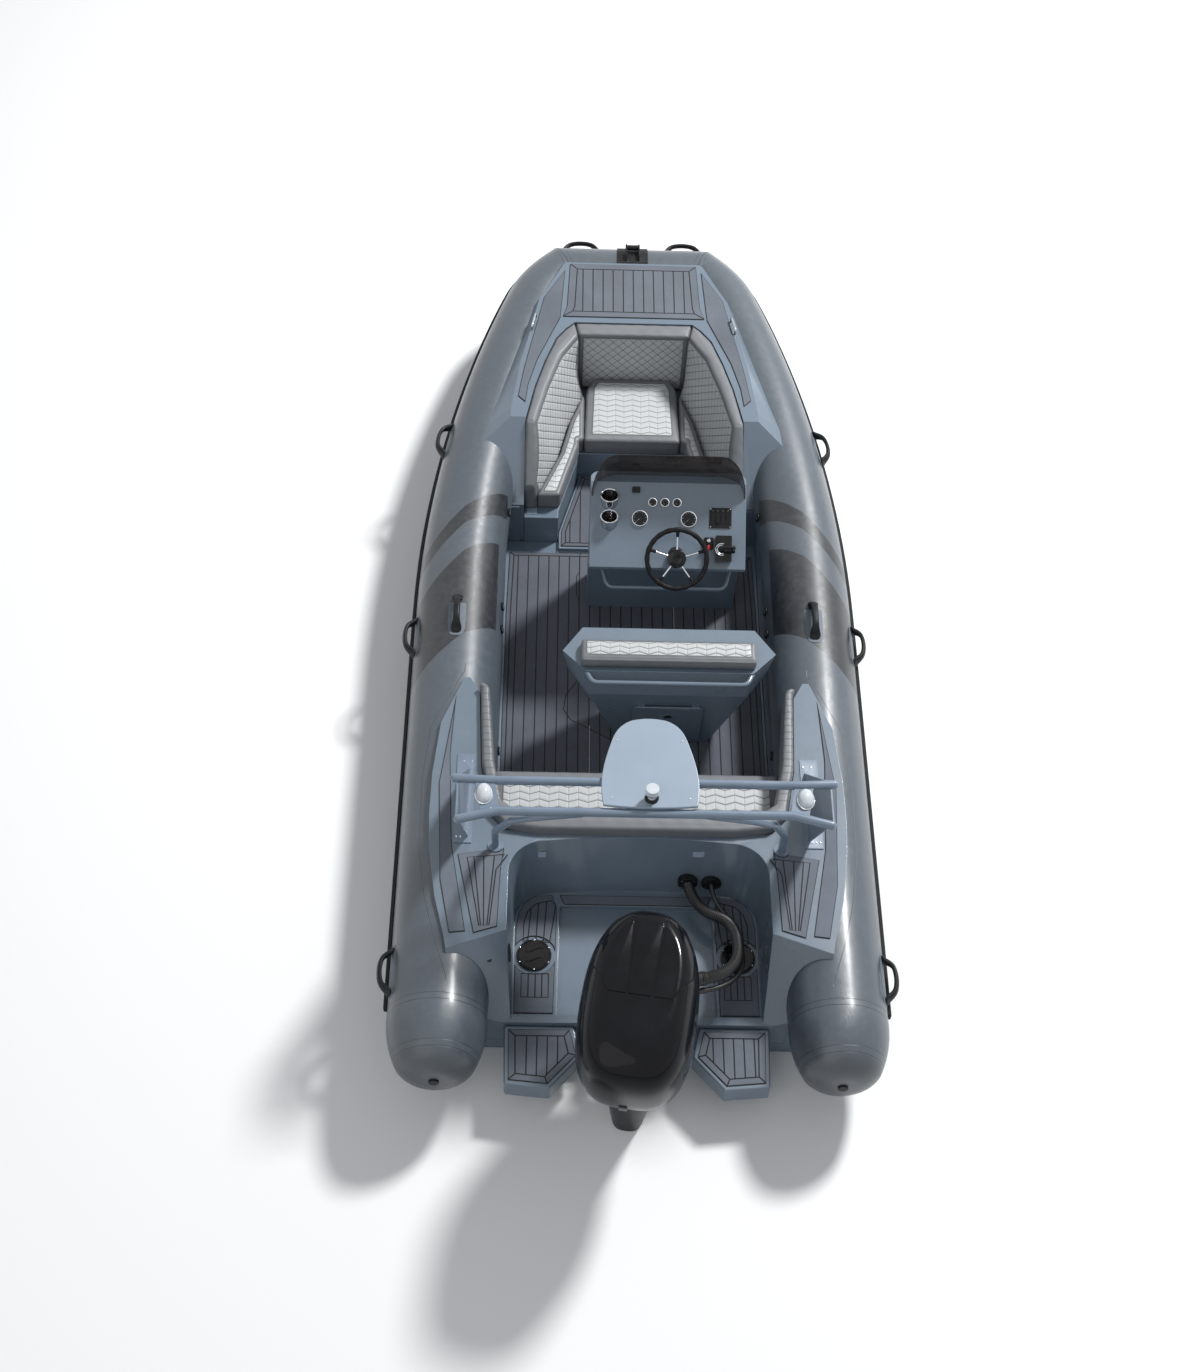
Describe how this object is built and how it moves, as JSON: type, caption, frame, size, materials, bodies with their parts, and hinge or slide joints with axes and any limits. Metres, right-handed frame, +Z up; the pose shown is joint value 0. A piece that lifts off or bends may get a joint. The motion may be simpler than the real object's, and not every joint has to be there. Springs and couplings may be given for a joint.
{
  "type": "rigid inflatable boat",
  "caption": "Open rigid inflatable boat with bow lounge, helm console, leaning seat, stern bench, light arch and a tilting, steering outboard engine.",
  "frame": {"origin": "on the waterline, on the centreline, at the aft face of the transom", "axes": "+X to starboard, +Y to the bow, +Z up"},
  "size_m": [2.6042, 6.1902, 2.1106],
  "materials": {
    "gelcoat_light": "gloss gelcoat",
    "gelcoat_blue": "gloss gelcoat",
    "tube_fabric": "satin coated fabric",
    "black_rubber": "matt",
    "black_plastic": "satin",
    "steel": "polished",
    "vinyl": "stitched vinyl",
    "foam_pad": "brushed foam",
    "smoked_screen": "smoked acrylic",
    "arch_paint": "gloss",
    "white_plastic": "gloss",
    "engine_black": "satin",
    "engine_gloss": "gloss",
    "prop_black": "satin paint"
  },
  "bodies": {
    "boat": {"aft_backrest": "vinyl", "aft_cushion": "vinyl", "aft_seat_base": "gelcoat_blue", "air_valves": "black_plastic", "arch_frame": "arch_paint", "arch_lights": "white_plastic", "arch_plate": "arch_paint", "bow_backrests": "vinyl", "bow_cushions": "vinyl", "bow_deck": "gelcoat_blue", "bow_roller": "black_plastic", "bow_seat_base": "gelcoat_blue", "clamp_bracket": "engine_black", "cleats": "steel", "cockpit_sole": "gelcoat_blue", "console_body": "gelcoat_blue", "console_rail": "arch_paint", "cup_holders": "steel", "deck_pads": "foam_pad", "deck_plates": "black_plastic", "grab_handles": "black_plastic", "helm_boss": "black_plastic", "helm_cushion": "vinyl", "helm_rail": "arch_paint", "helm_seat_base": "gelcoat_blue", "hull": "gelcoat_light", "instruments": "black_plastic", "platforms": "gelcoat_blue", "rigging_flanges": "black_plastic", "rigging_hoses": "black_rubber", "rub_strakes": "black_rubber", "sole_pads": "foam_pad", "stern_deck": "gelcoat_blue", "switch_panel": "black_plastic", "throttle": "black_plastic", "tube_bow": "tube_fabric", "tube_port": "tube_fabric", "tube_starboard": "tube_fabric", "windscreen": "smoked_screen"},
    "outboard": {"engine_cowl": "engine_gloss", "engine_leg": "engine_black"},
    "engine_bracket": {"swivel_bracket": "engine_black"},
    "propeller": {"propeller": "prop_black"},
    "steering_wheel": {"steering_wheel": "black_rubber"},
    "helm_hatch": {"helm_hatch": "gelcoat_blue"}
  },
  "joints": [
    {"name": "engine_tilt", "type": "hinge", "parent": "boat", "child": "engine_bracket", "pos_m": [0, -0.012, 0.34], "axis": [-1, 0, 0], "range_deg": [0, 70], "deforming": ["rigging_hoses"]},
    {"name": "engine_steer", "type": "hinge", "parent": "engine_bracket", "child": "outboard", "pos_m": [0, -0.095, 0.2], "axis": [0, 0, 1], "range_deg": [-22, 38], "deforming": ["rigging_hoses"]},
    {"name": "propeller_spin", "type": "hinge", "parent": "outboard", "child": "propeller", "pos_m": [-0.07028, -0.59508, -0.47], "axis": [-0.1392, -0.9903, 0], "continuous": true},
    {"name": "wheel_turn", "type": "hinge", "parent": "boat", "child": "steering_wheel", "pos_m": [0.214, 2.51253, 0.95238], "axis": [0, 0.788, -0.6157], "range_deg": [-530, 914]},
    {"name": "helm_hatch_hinge", "type": "hinge", "parent": "boat", "child": "helm_hatch", "pos_m": [0.1775, 1.79, 0.543], "axis": [-1, 0, 0], "range_deg": [0, 90]}
  ],
  "couplings": [
    {"joint": "wheel_turn", "follows": "engine_steer", "ratio": 24}
  ]
}
